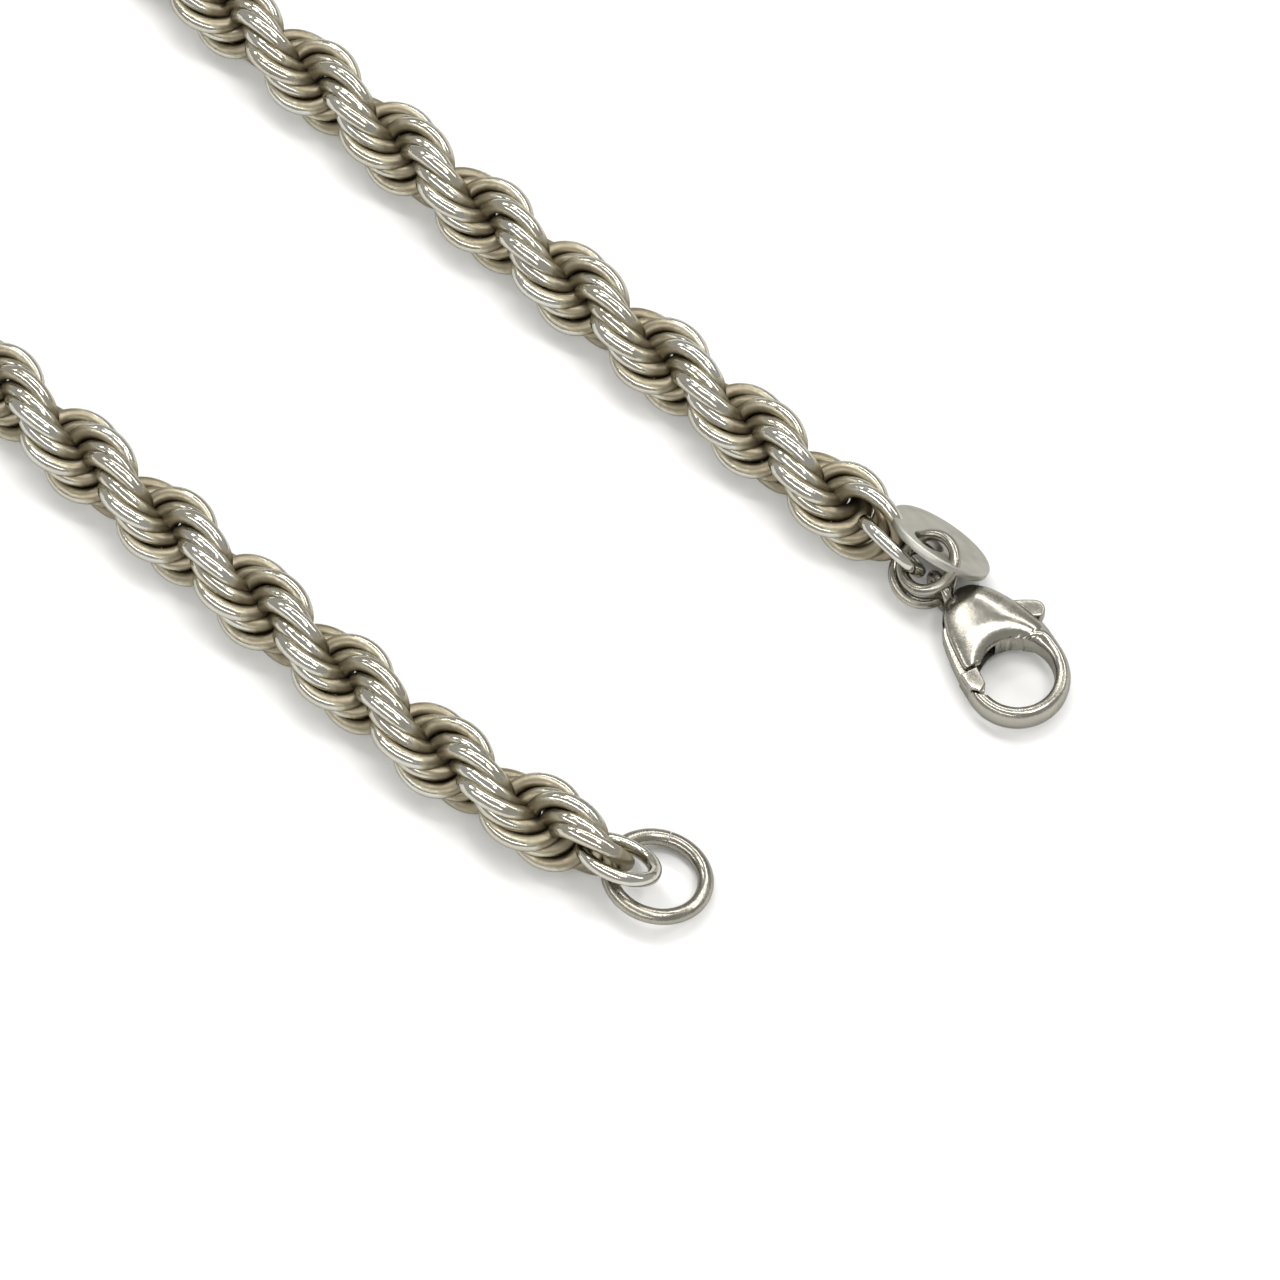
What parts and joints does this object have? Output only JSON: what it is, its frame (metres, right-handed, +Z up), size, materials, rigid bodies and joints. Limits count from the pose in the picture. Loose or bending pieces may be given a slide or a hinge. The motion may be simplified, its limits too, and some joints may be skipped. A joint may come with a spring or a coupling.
{
  "type": "rope chain necklace",
  "caption": "Silver rope chain necklace lying unfastened: twisted open links, a lobster clasp with a sprung lever, jump rings, a plain end ring and a small blank disc.",
  "frame": {"origin": "middle of the necklace's outline on the surface that it lies on", "axes": "+Y along the loop, away from the two free ends; +X from the strand with the plain ring to the strand with the clasp; +Z up"},
  "size_m": [0.109, 0.2188, 0.006],
  "materials": {
    "rope_silver": "polished silver, worn, with yellow-brown tarnish between the links",
    "ring_silver": "polished silver, lightly scratched",
    "clasp_silver": "polished cast silver with fine scratches",
    "matte_silver": "matte silver with fine scratches"
  },
  "bodies": {
    "chain": {"rope_section_01": "rope_silver", "rope_section_02": "rope_silver", "rope_section_03": "rope_silver", "rope_section_04": "rope_silver", "rope_section_05": "rope_silver", "rope_section_06": "rope_silver", "rope_section_07": "rope_silver", "rope_section_08": "rope_silver", "rope_section_09": "rope_silver", "rope_section_10": "rope_silver", "rope_section_11": "rope_silver", "rope_section_12": "rope_silver", "rope_section_13": "rope_silver", "rope_section_14": "rope_silver", "rope_section_15": "rope_silver", "rope_section_16": "rope_silver", "rope_section_17": "rope_silver", "rope_section_18": "rope_silver", "rope_section_19": "rope_silver", "end_link_ring_side": "rope_silver", "end_link_clasp_side": "rope_silver", "end_ring": "ring_silver", "tag_ring": "ring_silver", "clasp_ring": "ring_silver", "hallmark_disc": "matte_silver", "clasp_body": "clasp_silver", "lever_pin": "clasp_silver"},
    "lever": {"clasp_lever": "clasp_silver"}
  },
  "joints": [
    {"name": "lever_hinge", "type": "hinge", "parent": "chain", "child": "lever", "pos_m": [0.01564, -0.1009, 0.0016], "axis": [0, 0, 1], "range_deg": [0, 28], "stiffness_Nm_per_rad": 0.01, "springref_deg": -20.05}
  ]
}
